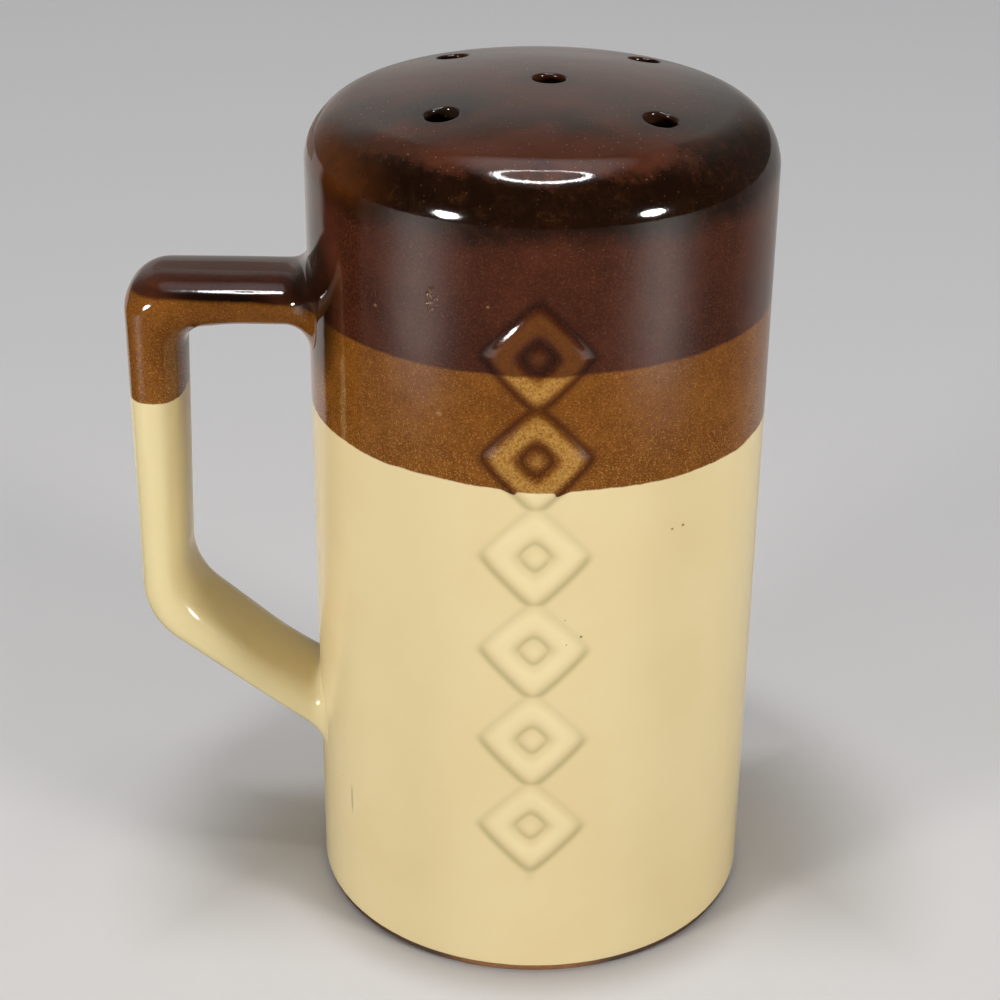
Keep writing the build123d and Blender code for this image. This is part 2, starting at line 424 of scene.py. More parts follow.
@dataclass(frozen=True)
class GlazeFinish:
    """Three glazes laid over one another from the top: dark brown, amber and cream, above bare clay.

    Each method that returns a colour takes the nodes of the material that it goes into.
    """

    name: str
    dark_line: float = 122.2
    dark_tilt: float = 0.010
    cream_line: float = 101.3
    cream_tilt: float = -0.018
    dark_soft: float = 0.35
    # Share of painted dark reflection in a band just above the dark glaze's lower edge.
    dark_reflection_share: float = 0.0
    foot_line: float = 1.7
    flaws_and_shade: tuple[GlazeSpot, ...] = ()
    colours: GlazeColours = field(default_factory=GlazeColours)

    def dark_colour(self, wires: Wiring) -> Socket:
        """The dark glaze: mottled maroon brown on the wall, near black round the shoulder, partly glaze
        pooled there and partly painted dark reflection of the room in front, with a warm rim on the handle's
        side, and a grey painted sheen and pale specks on the dome."""
        hues = self.colours
        x, y, z = wires.xyz
        mottle = wires.cloud(11, 0.28, 0.74, 5, 0.65)
        crown = wires.mix(mottle, hues.crown, hues.crown_warm)
        colour = wires.mix(mottle, hues.dark, hues.dark_warm)
        colour = wires.lay(colour, crown, wires.fade(z, 151, 155))
        colour = wires.lay(colour, hues.dark_fleck, wires.cloud(0.42, 0.44, 0.80, 3, 0.7), 0.7)
        # A near-black band round the shoulder: partly glaze pooled there, partly painted dark reflection of
        # the room in front.
        shoulder = wires.band(wires.plus(z, wires.ripple(9, 4.4, 5, 0.72)), 141.5, 148, 153.2, 156.2)
        drifts = wires.spread(wires.cloud(5, 0.35, 0.7, 3), 0.15, 0.9)
        black = wires.lay(hues.black, hues.black_fleck, wires.cloud(0.45, 0.42, 0.80, 4, 0.75), drifts)
        black = wires.lay(black, hues.black_blot, wires.cloud(1.9, 0.50, 0.66, 3, 0.65), 0.6, drifts)
        colour = wires.lay(colour, black, shoulder, 0.95)
        # Painted sheen: a grey reflection laid over a belt at the dome's front and over its right side.
        belt = wires.times(wires.band(y, -30, -20, -10, 4), wires.cloud(12, 0.30, 0.66, 3))
        dome_sheen = wires.math("MAXIMUM", belt, wires.fade(x, 16, 32))
        colour = wires.lay(colour, hues.dome_sheen, wires.fade(z, 153, 156), dome_sheen, 0.8)
        rim = wires.times(wires.fade(x, -22, -36), wires.band(z, 144, 149, 152, 157))
        colour = wires.lay(colour, hues.glow, rim, wires.noise(6, 4, 0.7))
        sparks = wires.times(wires.dots(0.75, 0.48, 0.12), wires.fade(z, 134, 156))
        drift = wires.spread(wires.cloud(14, 0.42, 0.60), 0.25, 1.0)
        return wires.lay(colour, hues.pale_fleck, sparks, wires.spread(shoulder, 0.75, 0.2), drift)

    def amber_colour(self, wires: Wiring, height: Socket) -> Socket:
        """The amber glaze: a dense gold grain that breaks pale on raised edges and pools dark beside them.

        Args:
            wires: The material's nodes.
            height: Height above the amber's lower edge.

        Returns:
            The colour.
        """
        hues = self.colours
        grain = wires.cloud(0.42, 0.26, 0.70, 3, 0.7)
        flow = wires.cloud(8, 0.30, 0.68, 6, 0.72)
        tone = wires.math("MULTIPLY_ADD", flow, 0.55, wires.times(grain, 0.5))
        colour = wires.mix(tone, hues.amber_deep, hues.amber)
        colour = wires.lay(colour, hues.amber_deep, wires.cloud(0.34, 0.46, 0.34, 2, 0.6), 0.6)
        lower = wires.spread(wires.fade(height, 16, 0), 0.32, 0.66)
        colour = wires.lay(colour, hues.amber_light, wires.cloud(0.30, 0.52, 0.70, 2, 0.6), lower)
        colour = wires.lay(colour, hues.amber_light, wires.dots(0.9, 0.30, 0.17), 0.5)
        pale = wires.mix(grain, hues.amber, hues.amber_thin)
        colour = wires.lay(colour, pale, wires.mark(Mark.THIN), 0.9)
        return wires.lay(colour, hues.amber_pool, wires.mark(Mark.POOL), 0.85)

    def cream_colour(self, wires: Wiring) -> Socket:
        """The cream glaze: faintly clouded, paler on the relief, olive where it pools and darker below the
        strokes as painted shade, with a few specks.
        """
        hues = self.colours
        colour = wires.lay(hues.cream, hues.cream_warm, wires.cloud(26, 0.35, 0.70, 3), 0.45)
        colour = wires.lay(colour, hues.cream_thin, wires.mark(Mark.THIN), 0.5)
        # Painted shade: the olive pool is laid more strongly below each stroke than above it.
        below = wires.spread(wires.mark(Mark.SHADE_BELOW), 0.22, 0.72)
        colour = wires.lay(colour, hues.cream_pool, wires.mark(Mark.POOL), below)
        return wires.lay(colour, hues.speck, wires.dots(5.2, 0.22, 0.22), 0.55)

    def clay_colour(self, wires: Wiring) -> Socket:
        """The bare clay of the foot, with painted shade on its rim apart from a lit place in front."""
        hues = self.colours
        colour = wires.mix(wires.noise(1.1, 4, 0.7), hues.clay_dark, hues.clay)
        # Painted shade darkens the foot's rim everywhere but a lit place in front.
        lit_front = wires.spot((-1, -41, 1), (20, 8, 8))
        foot_shade_share = wires.times(wires.fade(wires.reach, 39, 41), wires.math("SUBTRACT", 1.0, lit_front))
        return wires.lay(colour, hues.painted_foot_shade, foot_shade_share, 0.9)

    def with_flaws_and_shade(self, wires: Wiring, colour: Socket) -> tuple[Socket, object]:
        """Lays what firing left in the glaze, and painted shade at the arm's root, over a colour.

        Args:
            wires: The material's nodes.
            colour: The colour without them.

        Returns:
            The colour with them, and how far they raise the surface or, below 0, sink into it.
        """
        hues = self.colours
        # The root shade's black is painted shade; the pale tint of the raised bubbles is painted glint on two
        # of them.
        looks = {
            GlazeSpotKind.SMOKE: (hues.black, 0.88, 0.0),
            GlazeSpotKind.PITS: (hues.pale_fleck, 0.16, -0.13),
            GlazeSpotKind.BLISTER_AND_GLINT: (hues.blister_and_glint, 0.45, 0.04),
            GlazeSpotKind.SCRATCH: (hues.scratch, 0.55, -0.03),
            GlazeSpotKind.SPECK: (hues.speck, 0.85, 0.0),
        }
        dents: object = 0.0
        for flaw in self.flaws_and_shade:
            tint, share, rise = looks[flaw.kind]
            spot = wires.spot(flaw.place, flaw.reach)
            if flaw.kind is GlazeSpotKind.PITS:
                spot = wires.times(spot, wires.cloud(0.7, 0.50, 0.60))
            colour = wires.lay(colour, tint, spot, share)
            dents = wires.math("MULTIPLY_ADD", spot, rise, dents)
        return colour, dents

    def coat(self, piece: Piece) -> None:
        """Lays the glazes on a piece, with their slow waves, fine pits, firing marks and painted shade, and
        the clay's tooth.

        Args:
            piece: The piece, whose mesh holds the marks.
        """
        hues = self.colours
        wires = paint(piece, self.name)
        x, _, z = wires.xyz
        level = wires.plus(z, wires.ripple(9, 0.45, 3), wires.ripple(1.1, 0.12))
        over_cream = wires.math("MULTIPLY_ADD", x, -self.cream_tilt, level)
        over_cream = wires.math("MULTIPLY_ADD", wires.mark(Mark.POOL), 0.9, over_cream)
        height = wires.math("SUBTRACT", over_cream, self.cream_line)
        outside = wires.math("SUBTRACT", 1.0, wires.mark(Mark.INSIDE))
        brown = wires.times(wires.fade(height, -0.15, 0.15), outside)
        over_dark = wires.math("MULTIPLY_ADD", x, -self.dark_tilt, level)
        dark = wires.fade(over_dark, self.dark_line - self.dark_soft, self.dark_line + self.dark_soft)
        deep = self.dark_colour(wires)
        deep = wires.lay(deep, hues.amber, wires.mark(Mark.THIN), wires.spread(wires.noise(0.5, 3), 0.1, 0.6))
        deep = wires.lay(deep, hues.black, wires.mark(Mark.POOL), 0.6)
        # Painted dark reflection: black in a band above the dark glaze's lower edge, strongest along the arm,
        # where its rounded edge mirrors the dark room in front.
        if self.dark_reflection_share:
            edge = wires.fade(over_dark, self.dark_line + 2.0, self.dark_line + 1.1)
            along = wires.spread(wires.band(x, -70, -60, -52, -43), 0.3, self.dark_reflection_share)
            deep = wires.lay(deep, hues.black, edge, along)
        upper = wires.mix(dark, self.amber_colour(wires, height), deep)
        colour = wires.mix(brown, self.cream_colour(wires), upper)
        brim = wires.plus(z, wires.ripple(3, 0.3, 3))
        foot = wires.fade(brim, self.foot_line + 0.12, self.foot_line - 0.12)
        bare = wires.math("MAXIMUM", foot, wires.mark(Mark.BARE))
        colour, dents = self.with_flaws_and_shade(wires, wires.mix(bare, colour, self.clay_colour(wires)))
        gloss = wires.plus(wires.spread(brown, 0.20, 0.065), wires.spread(wires.noise(5, 3), -0.02, 0.03))
        wave = wires.math("MULTIPLY_ADD", wires.noise(13), 0.11, dents)
        pits = wires.times(wires.noise(0.55), wires.spread(brown, 0.004, 0.006))
        tooth = wires.times(wires.noise(0.4, 4, 0.7), wires.spread(bare, 0.0, 0.10))
        wires.finish(wires.shader(
            "BsdfPrincipled",
            Base_Color=colour,
            Roughness=wires.math("MULTIPLY_ADD", bare, 0.65, gloss),
            Normal=wires.bump(wires.plus(wave, pits, tooth)),
        ))


@dataclass(frozen=True)
class RubberFinish:
    """Soft moulded rubber, matt and faintly mottled."""

    name: str = "stopper_rubber"
    light: Colour = srgb(206, 196, 176)
    worn: Colour = srgb(176, 164, 142)

    def coat(self, piece: Piece) -> None:
        """Lays the finish on a piece."""
        wires = paint(piece, self.name)
        wires.finish(wires.shader(
            "BsdfPrincipled",
            Base_Color=wires.mix(wires.cloud(6, 0.4, 0.75, 4, 0.6), self.light, self.worn),
            Roughness=wires.spread(wires.noise(2), 0.48, 0.62),
            Normal=wires.bump(wires.times(wires.noise(0.35, 3), 0.02)),
        ))


@dataclass
class Relief:
    """A column of raised lozenges on the front of the wall, each a frame round a small boss."""

    count: int = 6
    width: float = 16.2
    height: float = 17.0
    pitch: float = 18.4
    stroke: float = 2.9
    boss: float = 0.22
    top: float = 133.8
    rise: float = 0.72
    shoulder: float = 2.5
    corner: float = 1.1
    pool_off: float = 0.9
    pool_width: float = 0.65

    @property
    def low(self) -> float:
        """Height of the lowest lozenge's lower point."""
        return self.top - self.height - (self.count - 1) * self.pitch

    def depth(self, across: Array, up: Array) -> Array:
        """How far inside a stroke a point is, negative outside.

        A lozenge is where the distances from its middle, each as a share of its half width or half height,
        add up to 1. The sum less 1, times the distance from its middle to a side, is the distance to its
        outline. The frame lies between the outline and one stroke inside it, and the boss is a small
        lozenge at the middle. Both distances are rounded off near 0, which rounds the corners.

        Args:
            across: Sideways distance from the middle of the column.
            up: Height above the foot.

        Returns:
            Distance to the nearest edge of a stroke.
        """
        first = self.top - self.height / 2
        place = np.clip(np.round((first - up) / self.pitch), 0, self.count - 1)
        half_width, half_height = self.width / 2, self.height / 2
        side = np.sqrt(across**2 + self.corner**2) - self.corner * 0.4
        rest = np.sqrt((up - first + place * self.pitch) ** 2 + self.corner**2) - self.corner * 0.4
        total = side / half_width + rest / half_height
        reach = half_width * half_height / sqrt(half_width**2 + half_height**2)
        outline = (total - 1) * reach
        band = np.minimum(-outline, outline + self.stroke)
        return np.maximum(band, (self.boss - total) * reach)

    def rise_at(self, depth: Array) -> Array:
        """Height of the relief at a depth inside its strokes, with soft shoulders."""
        return self.rise * smooth_step(-self.shoulder / 2, self.shoulder / 2, depth)

    def marks_at(self, depth: Array) -> dict[Mark, Array]:
        """Where the glaze runs thin over the strokes and pools beside and under them, and where painted shade
        falls below them.

        Args:
            depth: Depth inside the strokes, by row from below and column.

        Returns:
            The marks; the shade mark is painted shade on the lower side of each stroke, where the depth grows
            upwards.
        """
        return {
            Mark.THIN: smooth_step(-0.3, 0.8, depth),
            Mark.POOL: np.exp(-(((depth + self.pool_off) / self.pool_width) ** 2)),
            Mark.SHADE_BELOW: smooth_step(-0.3, 0.3, np.gradient(depth, axis=0)),
        }


@dataclass
class GlazedPart:
    """A piece that is glazed and takes the place of a node."""

    node: str
    slot: str
    finish: GlazeFinish
    body: str = "shaker"

    def dress(self, piece: Piece) -> None:
        """Glazes the piece and sets it in the place of its node."""
        self.finish.coat(piece)
        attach(piece, self.body)
        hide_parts(self.node)


@dataclass
class ShakerBody(GlazedPart):
    """The cast body: wall with its relief, dome with five pouring holes, floor with its filling hole."""

    node: str = "shaker_body"
    slot: str = "body_glaze"
    finish: GlazeFinish = GlazeFinish("body_glaze", flaws_and_shade=FLAWS_AND_ROOT_SHADE)
    radius: float = 41.5
    height: float = 160.0
    wall: float = 4.5
    crown: float = 152.0
    shoulder: float = 11.0
    foot_rounding: float = 0.9
    foot_set: float = 0.35
    lip_height: float = 1.95
    lip_radius: float = 0.4
    floor_rounding: float = 5.0
    ring_width: float = 7.0
    recess: float = 3.5
    floor: float = 5.5
    fill_radius: float = 19.0
    clay_edge: float = 0.6
    hole_radius: float = 2.8
    hole_rim: float = 0.5
    middle_hole: Pair = (1.0, -0.4)
    front_holes: tuple[Pair, ...] = ((19.5, -16.3), (-16.7, -16.3))
    back_holes: tuple[Pair, ...] = ((18.1, 21.0), (-16.4, 20.5))
    # How far the glaze is darker round each hole.
    hole_dark_reach: float = 2.4
    rim_row: float = 13.5
    inside_rows: Pair = (24, 27)
    crown_ring: float = 32.3
    inner_ring: float = 31.3
    middle_corner: float = 15.0
    relief: Relief = field(default_factory=Relief)
    relief_turn: float = 13.5
    relief_margin: float = 2.0
    relief_rows: int = 306

    @property
    def shoulder_height(self) -> float:
        """Height at which the wall turns into the shoulder: where a circle of the shoulder's radius touches
        the wall and the crown."""
        across, along = self.radius - self.shoulder, self.crown - self.shoulder
        return self.height - self.crown + sqrt(along**2 - across**2)

    @property
    def crown_turn(self) -> float:
        """Angle from upright at which the shoulder meets the crown."""
        return degrees(asin((self.radius - self.shoulder) / (self.crown - self.shoulder)))

    def crown_at(self, x: Array, y: Array, depth: float = 0) -> Array:
        """Height of the crown: a sphere about a point on the axis, shrunk by a depth below the outside."""
        return self.height - self.crown + np.sqrt((self.crown - depth) ** 2 - x**2 - y**2)

    def columns(self) -> Array:
        """Angles round the axis from the front towards +X: close together over the relief, wide elsewhere.

        Returns:
            Angles in radians, with the quarter turns among them.
        """
        dense = np.linspace(0, self.relief_turn, 47)
        opening = self.relief_turn + np.cumsum(np.linspace(0.45, 3.45, 13))
        side = np.linspace(opening[-1], 90, 13)[1:]
        back = np.linspace(90, 180, 25)[1:]
        right = np.concatenate([dense, opening, side, back])
        return np.radians(np.concatenate([right, -right[-2:0:-1]]) % 360)

    def rows(self) -> tuple[Array, Array, int]:
        """The half section, from the inside of the crown down the cavity, round the base and up the outside.

        Returns:
            Radius and height of each point, its share of bare clay, and the first row of the outside.
        """
        wide, inner, bend = self.radius, self.radius - self.wall, self.shoulder_height
        turn, small = 90 - self.crown_turn, self.shoulder - self.wall
        edge, heel, hole, deck = self.clay_edge, self.floor_rounding, self.fill_radius, self.recess
        floor, ring = deck + self.floor, wide - self.ring_width
        toe, foot, lip = self.foot_rounding, wide - self.foot_set, self.lip_height
        tuck = degrees(acos(1 - self.foot_set / self.lip_radius))
        around = (wide - self.shoulder, bend)
        crown_in = np.linspace(self.inner_ring, around[0] + small * cos(radians(turn)), 4)
        crown_out = np.linspace(around[0] + self.shoulder * cos(radians(turn)), self.crown_ring, 4)
        low, high = self.relief.low - self.relief_margin, self.relief.top + self.relief_margin
        cavity = joined(
            np.stack([crown_in, self.crown_at(crown_in, 0, self.wall)], axis=1),
            arc(around, small, turn, 0, 10),
            line((inner, bend), (inner, floor + heel), 14),
            arc((inner - heel, floor + heel), heel, 0, -90, 8),
            line((inner - heel, floor), (hole + edge, floor), 5),
        )
        base = joined(
            arc((hole + edge, floor - edge), edge, 90, 180, 5),
            line((hole, floor - edge), (hole, deck + edge), 5),
            arc((hole + edge, deck + edge), edge, 180, 270, 5),
            line((hole + edge, deck), (ring - edge, deck), 7),
            arc((ring - edge, deck - edge), edge, 90, 0, 5),
            line((ring, deck - edge), (ring, edge), 4),
            arc((ring + edge, edge), edge, 180, 270, 5),
            line((ring + edge, 0), (foot - toe, 0), 5),
        )
        outside = joined(
            arc((foot - toe, toe), toe, -90, 0, 6),
            line((foot, toe), (foot, lip - self.lip_radius * sin(radians(tuck))), 3),
            arc((wide - self.lip_radius, lip), self.lip_radius, -tuck, 0, 7),
            line((wide, lip), (wide, low), 10),
            line((wide, low), (wide, high), self.relief_rows),
            line((wide, high), (wide, bend), 8),
            arc(around, self.shoulder, 0, turn, 26),
            np.stack([crown_out, self.crown_at(crown_out, 0)], axis=1),
        )
        profile = joined(cavity, base, outside)
        outer = len(cavity) + len(base) - 1
        bare = np.zeros(len(profile))
        bare[len(cavity) + 4 : outer] = 1
        return profile, bare, outer

    def round_wall(self, skin: Skin) -> None:
        """Turns the half section about the axis, with the relief raised on the outside.

        A point of the section at a radius goes to that radius times the sine of the column's angle in x and
        minus its cosine in y, so that angle 0 is the front.

        Args:
            skin: The surfaces of the body.
        """
        angle = self.columns()
        profile, bare, outer = self.rows()
        radius, height = (np.repeat(values[:, None], len(angle), axis=1) for values in profile.T)
        across = np.where(np.cos(angle) > 0, self.radius * np.sin(angle), self.radius)
        depth = self.relief.depth(np.broadcast_to(across, radius.shape), height)
        depth[:outer] = -self.radius
        depth[height > self.shoulder_height] = -self.radius
        radius = radius + self.relief.rise_at(depth)
        marks = self.relief.marks_at(depth)
        marks[Mark.BARE] = bare[:, None]
        marks[Mark.INSIDE] = (np.arange(len(profile)) < outer)[:, None].astype(float)
        skin.add(np.stack([radius * np.sin(angle), -radius * np.cos(angle), height], axis=-1), marks)

    def hole_strip(self, loop: Array, inner_loop: Array, centre: Array) -> Array:
        """The skin of one pouring hole, from its share of the crown down through it to the inside.

        Points go straight from the outline of the share to the rim of the hole, rise onto the crown, turn
        down round a quarter circle, run down the wall of the hole and out to the outline on the inside.

        Args:
            loop: Outline of the hole's share of the outer crown, anticlockwise, as x and y.
            inner_loop: The same on the inside.
            centre: Middle of the hole.

        Returns:
            Points by row and column.
        """
        seen = np.unwrap(np.arctan2(*(loop - centre).T[::-1]))
        even = seen[0] + np.arange(len(loop)) * 2 * pi / len(loop)
        angle = (0.35 * seen + 0.65 * even)[:, None]
        ray = np.concatenate([np.cos(angle), np.sin(angle)], axis=1)
        rim, hole = self.hole_radius + self.hole_rim, self.hole_radius
        share = (1 - (1 - np.linspace(0, 1, 13)) ** 1.6)[:, None, None]
        flat = loop * (1 - share) + (centre + rim * ray) * share
        top = self.crown_at(*np.moveaxis(flat, -1, 0))
        turn = np.radians(np.linspace(0, 90, 8)[1:])[:, None, None]
        bend = centre + (rim - self.hole_rim * np.sin(turn)) * ray
        bend_top = top[-1] - self.hole_rim * (1 - np.cos(turn[:, :, 0]))
        under = (1 - np.linspace(0, 1, 10))[:, None, None] ** 1.6
        back = inner_loop * (1 - under) + (centre + hole * ray) * under
        ceiling = self.crown_at(*np.moveaxis(back, -1, 0), self.wall)
        drop = np.linspace(0, 1, 6)[1:-1, None]
        shaft_top = bend_top[-1] * (1 - drop) + ceiling[0] * drop
        shaft = np.broadcast_to(bend[-1], (len(drop), *bend[-1].shape))
        plane = np.concatenate([flat, bend, shaft, back])
        level = np.concatenate([top, bend_top, shaft_top, ceiling])
        return np.concatenate([plane, level[..., None]], axis=-1)

    def crown_loops(self, ring: float, corner: float) -> list[Array]:
        """Outlines that share the crown between the five holes: a square round the middle and four sectors.

        The square stands on its corners at the quarter turns. A sector runs out along one quarter turn,
        round the ring, in along the next and back along the square's side.

        Args:
            ring: Radius of the ring that the sectors end at.
            corner: Distance of the square's corners from the axis.

        Returns:
            The square and then the sectors, anticlockwise, as x and y, without their last points.
        """
        angle = np.unwrap(self.columns())
        quarters = [np.argmin(np.abs(angle - quarter * pi / 2)) for quarter in range(4)] + [len(angle)]
        angle = np.append(angle, 2 * pi)
        ways = np.stack([np.sin(angle), -np.cos(angle)], axis=1)
        square, sectors = [], []
        for first, last in zip(quarters, quarters[1:]):
            here, there = corner * ways[first], corner * ways[last]
            square.append(line(here, there, 14)[:-1])
            out, home = line(here, ring * ways[first], 12), line(ring * ways[last], there, 12)
            back = line(there, here, 14)
            sectors.append(np.concatenate([out[:-1], ring * ways[first:last], home[:-1], back[:-1]]))
        return [np.concatenate(square), *sectors]

    def pierced_crown(self, skin: Skin) -> None:
        """Closes the dome: five hole strips that fill the ring at the top of the wall, outside and inside.

        Args:
            skin: The surfaces of the body.
        """
        centres = np.array([self.middle_hole, self.front_holes[0], *self.back_holes, self.front_holes[1]])
        outer = self.crown_loops(self.crown_ring, self.middle_corner)
        inner = self.crown_loops(self.inner_ring, self.middle_corner * self.inner_ring / self.crown_ring)
        for loop, inner_loop, centre in zip(outer, inner, centres):
            points = self.hole_strip(loop, inner_loop, centre)
            rows = np.arange(len(points), dtype=float)[:, None]
            away = np.linalg.norm(points[..., :2] - centre, axis=-1) - self.hole_radius
            skin.add(points, {
                Mark.THIN: 0.5 * np.exp(-(((rows - self.rim_row) / 1.2) ** 2)),
                # The pool mark here makes the glaze darker round each hole.
                Mark.POOL: np.exp(-((away / self.hole_dark_reach) ** 2)),
                Mark.INSIDE: smooth_step(*self.inside_rows, rows),
            })

    def build(self) -> Piece:
        """Makes the body's mesh and returns the piece, not yet dressed."""
        skin = Skin()
        self.round_wall(skin)
        self.pierced_crown(skin)
        return skin.make("glazed_body")


@dataclass
class StrapHandle(GlazedPart):
    """The strap handle: a rounded section carried round a bent path, flared onto the wall at both roots."""

    node: str = "handle"
    slot: str = "handle_glaze"
    finish: GlazeFinish = GlazeFinish(
        "handle_glaze",
        dark_line=120.4,
        dark_tilt=-0.02,
        dark_soft=0.4,
        cream_line=100.5,
        # Painted dark reflection along the arm's rounded front edge.
        dark_reflection_share=0.97,
        flaws_and_shade=ARM_ROOT_SHADE,
        colours=GlazeColours(
            dark=srgb(68, 32, 19),
            dark_warm=srgb(88, 45, 29),
            # The cream is a little greener than the body's, painted against the warm light bounced into the
            # handle's shade.
            cream=srgb(225, 209, 159),
            cream_warm=srgb(219, 198, 146),
        ),
    )
    wall: float = 41.5
    width: float = 20.5
    fullness: float = 2.5
    columns: int = 72
    arm_flare: float = 4.5
    foot_flare: float = 3.0
    foot_lift: float = 0.35
    sink: float = 0.4
    half_way: float = 65.8
    outer_corners: tuple[Pair, ...] = ((-41.5, 124.7), (-74.65, 124.7), (-74.65, 55.07), (-41.5, 30.43))
    outer_radii: Pair = (6.8, 14.0)
    inner_corners: tuple[Pair, ...] = (
        (-41.5, 115.5), (-54.0, 115.5), (-64.0, 114.2), (-65.8, 61.95), (-49.5, 47.55), (-41.5, 42.25)
    )
    inner_radii: tuple[float, ...] = (40.0, 5.0, 14.0, 50.0)
    steps: tuple[int, ...] = (22, 18, 34, 22, 30)

    @staticmethod
    def rounded(points: tuple[Pair, ...], radii: tuple[float, ...]) -> list[Array]:
        """A bent line with its corners rounded.

        A corner's arc touches both runs at the radius times the tangent of half the turn from the corner,
        and its points swing about a centre on the inside of the corner.

        Args:
            points: Ends and corners, as x and z.
            radii: Radius at each corner.

        Returns:
            The runs and arcs in turn, each closely sampled.
        """
        stretches = []
        points = np.array(points)
        here = points[0]
        for before, corner, after, radius in zip(points, points[1:], points[2:], radii):
            into = (corner - before) / np.linalg.norm(corner - before)
            out = (after - corner) / np.linalg.norm(after - corner)
            turn = np.arctan2(into[0] * out[1] - into[1] * out[0], into @ out)
            start = corner - into * radius * tan(abs(turn) / 2)
            side = np.array([-into[1], into[0]]) * np.sign(turn)
            swing = np.linspace(0, abs(turn), FINE)[:, None]
            bow = start + radius * (np.sin(swing) * into + (1 - np.cos(swing)) * side)
            stretches += [line(here, start, FINE), bow]
            here = bow[-1]
        return [*stretches, line(here, points[-1], FINE)]

    @staticmethod
    def spaced(path: Array, count: int) -> Array:
        """A number of points at equal steps along a closely sampled path, both ends included."""
        steps = np.linalg.norm(np.diff(path, axis=0), axis=1)
        gone = np.concatenate([[0], np.cumsum(steps)])
        wanted = np.linspace(0, gone[-1], count)
        return np.stack([np.interp(wanted, gone, path[:, axis]) for axis in range(2)], axis=1)

    def outlines(self) -> list[Array]:
        """The outer and the inner line of the strap, with as many points each, from root to root.

        Returns:
            The two lines as x and z, the matching points side by side.
        """
        outer = self.rounded(self.outer_corners, self.outer_radii)
        inner = self.rounded(self.inner_corners, self.inner_radii)
        pairs = (outer, [joined(*inner[:3]), *inner[3:6], joined(*inner[6:])])
        return [joined(*[self.spaced(run, step) for run, step in zip(runs, self.steps)]) for runs in pairs]

    def section(self, half: Array, swell: Array, lift: float = 1) -> tuple[Array, Array]:
        """A superellipse for each step of the path, between an ellipse and a rounded rectangle.

        Across the thickness it is half the thickness times the cosine of an angle, and across the width half
        the width times its sine, both raised to 2 over the fullness with their signs kept.

        Args:
            half: Half the strap's thickness at each step.
            swell: How far the section grows at its sides at each step.
            lift: Share of that by which it grows above and below.

        Returns:
            Place across the thickness and across the width, by step and column.
        """
        angle = np.linspace(0, 2 * pi, self.columns + 1)[:-1]
        turns = (np.cos(angle), np.sin(angle))
        up, along = (np.sign(turn) * np.abs(turn) ** (2 / self.fullness) for turn in turns)
        return (half + lift * swell)[:, None] * up, (self.width / 2 + swell)[:, None] * along

    @staticmethod
    def swell_at(gap: Array, flare: float) -> Array:
        """How far a root swells at a distance from the wall: the flare less the height of a circle of the
        flare's radius that touches both the wall and the strap."""
        near = np.clip(flare - gap, 0, flare)
        return flare - np.sqrt(flare**2 - near**2)

    def root_rows(self, outer: Array, inner: Array, way: Array, flare: float, lift: float) -> Array:
        """Rows at one root that follow the wall, from just inside it to the end of the flare.

        Each row keeps one distance to the wall: a point of the section slides along the strap until its
        distance from the axis is the wall's radius plus that distance.

        Args:
            outer: Outer line's end at the wall, as x and z.
            inner: Inner line's end at the wall.
            way: Direction of the strap away from the wall, as x and z, of length 1.
            flare: Radius of the flare.
            lift: Share of the flare above and below the strap.

        Returns:
            Points by row and column, going out from the wall.
        """
        gap = np.concatenate([[-self.sink], flare * np.linspace(0, 1, 13) ** 2])
        across, middle = (outer - inner) / 2, (outer + inner) / 2
        normal = np.array([-way[1], way[0]])
        normal = normal * np.sign(normal @ across)
        half = np.full(len(gap), float(across @ normal))
        out, side = self.section(half, self.swell_at(np.maximum(gap, 0), flare), lift)
        x, z = (middle[axis] + normal[axis] * out for axis in range(2))
        wanted = -np.sqrt((self.wall + gap[:, None]) ** 2 - side**2)
        return np.stack([wanted, side, z + (wanted - x) / way[0] * way[1]], axis=-1)

    def build(self) -> Piece:
        """Makes the handle's mesh.

        A point of the strap is the middle of the two lines there, plus the section's place across the
        thickness along the line from inner to outer, plus its place across the width along y.

        Returns:
            The piece, not yet dressed.
        """
        outer, inner = self.outlines()
        middle, across = (outer + inner) / 2, (outer - inner) / 2
        half = np.linalg.norm(across, axis=1)
        out, side = self.section(half, np.zeros(len(half)))
        x, z = (middle[:, axis, None] + (across[:, axis] / half)[:, None] * out for axis in range(2))
        strap = np.stack([x, side, z], axis=-1)
        flare = np.where(middle[:, 1] > self.half_way, self.arm_flare, self.foot_flare)
        strap = strap[np.linalg.norm(strap[..., :2], axis=-1).min(axis=1) > self.wall + 1.4 * flare]
        foot_way = (middle[-12] - middle[-1]) / np.linalg.norm(middle[-12] - middle[-1])
        upper = self.root_rows(outer[0], inner[0], np.array([-1.0, 0.0]), self.arm_flare, 1)
        lower = self.root_rows(outer[-1], inner[-1], foot_way, self.foot_flare, self.foot_lift)[::-1]
        rows = np.concatenate([upper, strap, lower])
        first, last = (np.repeat(end.mean(axis=0)[None, None], self.columns, axis=1) for end in rows[[0, -1]])
        skin = Skin()
        skin.add(np.concatenate([first, rows, last])[:, ::-1])
        return skin.make("glazed_handle")


@dataclass
class Stopper:
    """The soft stopper, which keeps its solid shape and gets its rubber."""

    node: str = "stopper"

    def dress(self) -> None:
        """Gives the stopper its finish."""
        RubberFinish().coat(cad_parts[self.node])


